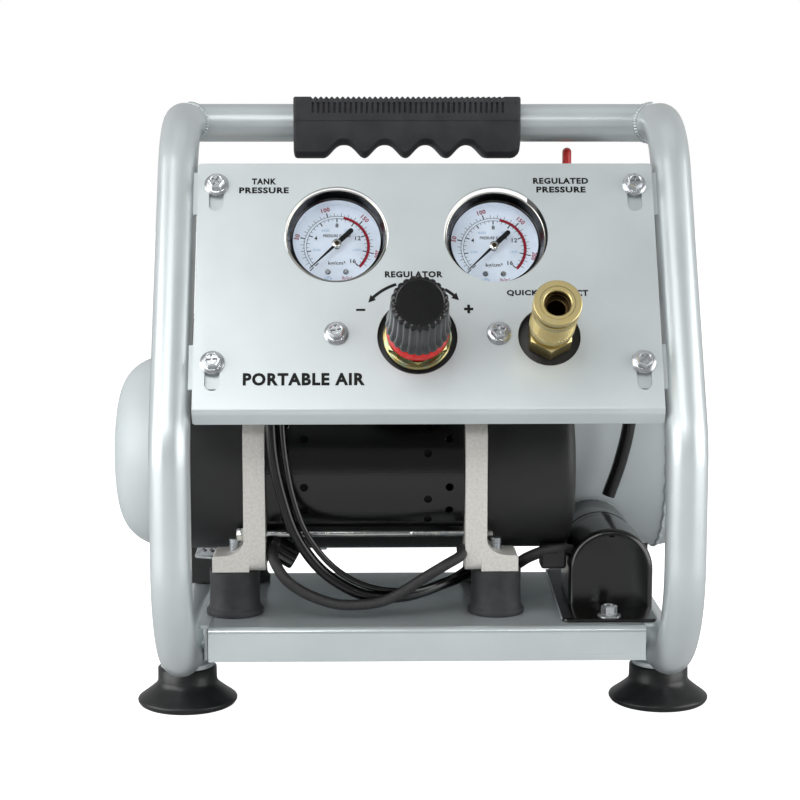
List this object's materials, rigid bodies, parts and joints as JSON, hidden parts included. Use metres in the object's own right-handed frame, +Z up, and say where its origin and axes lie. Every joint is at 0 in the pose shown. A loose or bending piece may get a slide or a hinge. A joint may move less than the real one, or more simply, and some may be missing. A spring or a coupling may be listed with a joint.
{
  "type": "hotdog air compressor",
  "caption": "Portable air compressor: horizontal tank and oil-free pump in a tubular frame with leaning control panel, gauges, regulator, quick coupler and rubber carry grip.",
  "frame": {"origin": "on the floor, under the middle of the bounding box of the whole machine", "axes": "+X to the right seen from the control panel, +Y away from the panel towards the tank, +Z up"},
  "size_m": [0.3734, 0.3338, 0.35],
  "materials": {
    "silver_paint": "satin silver-grey paint",
    "black_rubber": "matte moulded rubber",
    "zinc": "bright zinc plating",
    "chrome": "polished",
    "dial_white": "matte white printed dial",
    "clear_lens": "clear",
    "black_paint": "satin black paint",
    "yellow_zinc": "yellow passivated zinc",
    "red_plastic": "gloss red",
    "steel": "machined",
    "black_plastic": "satin moulded",
    "brass": "machined",
    "cast_aluminium": "as cast",
    "copper": "drawn tube"
  },
  "bodies": {
    "frame": {"air_manifold": "cast_aluminium", "base_plate": "silver_paint", "capacitor": "black_plastic", "capacitor_cover": "black_plastic", "control_panel": "silver_paint", "coupler_body": "brass", "discharge_tube": "copper", "drain_valve": "brass", "front_left_foot": "black_rubber", "front_left_mount": "black_rubber", "front_right_foot": "black_rubber", "front_right_mount": "black_rubber", "handle_bar": "silver_paint", "handle_grip": "black_rubber", "left_cylinder": "cast_aluminium", "left_end_plate": "cast_aluminium", "left_fan_cover": "black_plastic", "left_hoop": "silver_paint", "lower_left_screw": "zinc", "lower_right_screw": "zinc", "middle_left_screw": "zinc", "middle_right_screw": "zinc", "motor_cord": "black_rubber", "motor_shell": "black_paint", "motor_stator": "steel", "outlet_gauge_case": "chrome", "outlet_gauge_dial": "dial_white", "outlet_gauge_lens": "clear_lens", "pressure_switch": "black_plastic", "rear_left_foot": "black_rubber", "rear_left_mount": "black_rubber", "rear_right_foot": "black_rubber", "rear_right_mount": "black_rubber", "regulator_body": "black_paint", "regulator_nut": "yellow_zinc", "regulator_ring": "red_plastic", "relief_hose": "black_rubber", "right_cylinder": "cast_aluminium", "right_end_plate": "cast_aluminium", "right_fan_cover": "black_plastic", "right_hoop": "silver_paint", "safety_valve": "brass", "tank_gauge_case": "chrome", "tank_gauge_dial": "dial_white", "tank_gauge_lens": "clear_lens", "tank_shell": "silver_paint", "tie_rod": "zinc", "upper_left_screw": "zinc", "upper_right_screw": "zinc"},
    "spindle": {"regulator_spindle": "steel"},
    "knob": {"regulator_knob": "black_plastic"},
    "sleeve": {"coupler_sleeve": "brass"},
    "lever": {"switch_lever": "red_plastic"},
    "tank_needle": {"tank_gauge_needle": "black_paint"},
    "outlet_needle": {"outlet_gauge_needle": "black_paint"},
    "rotor": {"motor_rotor": "steel"},
    "left_piston": {"left_piston": "cast_aluminium"},
    "right_piston": {"right_piston": "cast_aluminium"},
    "relief_ring": {"safety_ring": "steel"},
    "drain_key": {"drain_key": "zinc"}
  },
  "joints": [
    {"name": "regulator_turn", "type": "hinge", "parent": "frame", "child": "spindle", "pos_m": [-0.00145, -0.14374, 0.23399], "axis": [0, -0.891, 0.454], "range_deg": [-540, 540]},
    {"name": "knob_lock", "type": "slide", "parent": "spindle", "child": "knob", "axis": [0, -0.891, 0.454], "range_m": [-0.003, 0]},
    {"name": "sleeve_pull", "type": "slide", "parent": "frame", "child": "sleeve", "axis": [0, 0.891, -0.454], "range_m": [0, 0.006]},
    {"name": "switch_lever_turn", "type": "hinge", "parent": "frame", "child": "lever", "pos_m": [0.09275, 0.02483, 0.287], "axis": [1, 0, 0], "range_deg": [0, 20]},
    {"name": "tank_gauge_sweep", "type": "hinge", "parent": "frame", "child": "tank_needle", "pos_m": [-0.04485, -0.07863, 0.26815], "axis": [0, 0.891, -0.454], "range_deg": [0, 270]},
    {"name": "outlet_gauge_sweep", "type": "hinge", "parent": "frame", "child": "outlet_needle", "pos_m": [0.04225, -0.07596, 0.26679], "axis": [0, 0.891, -0.454], "range_deg": [0, 270]},
    {"name": "motor_spin", "type": "hinge", "parent": "frame", "child": "rotor", "pos_m": [-0.02975, -0.04317, 0.14], "axis": [1, 0, 0], "continuous": true},
    {"name": "left_piston_stroke", "type": "slide", "parent": "frame", "child": "left_piston", "axis": [0, 0, 1], "range_m": [-0.006, 0.006]},
    {"name": "right_piston_stroke", "type": "slide", "parent": "frame", "child": "right_piston", "axis": [0, 0, 1], "range_m": [-0.006, 0.006]},
    {"name": "relief_ring_pull", "type": "slide", "parent": "frame", "child": "relief_ring", "axis": [-1, 0, 0], "range_m": [0, 0.003]},
    {"name": "drain_key_turn", "type": "hinge", "parent": "frame", "child": "drain_key", "pos_m": [0.04165, 0.07883, 0.045], "axis": [0, 0, 1], "continuous": true}
  ]
}
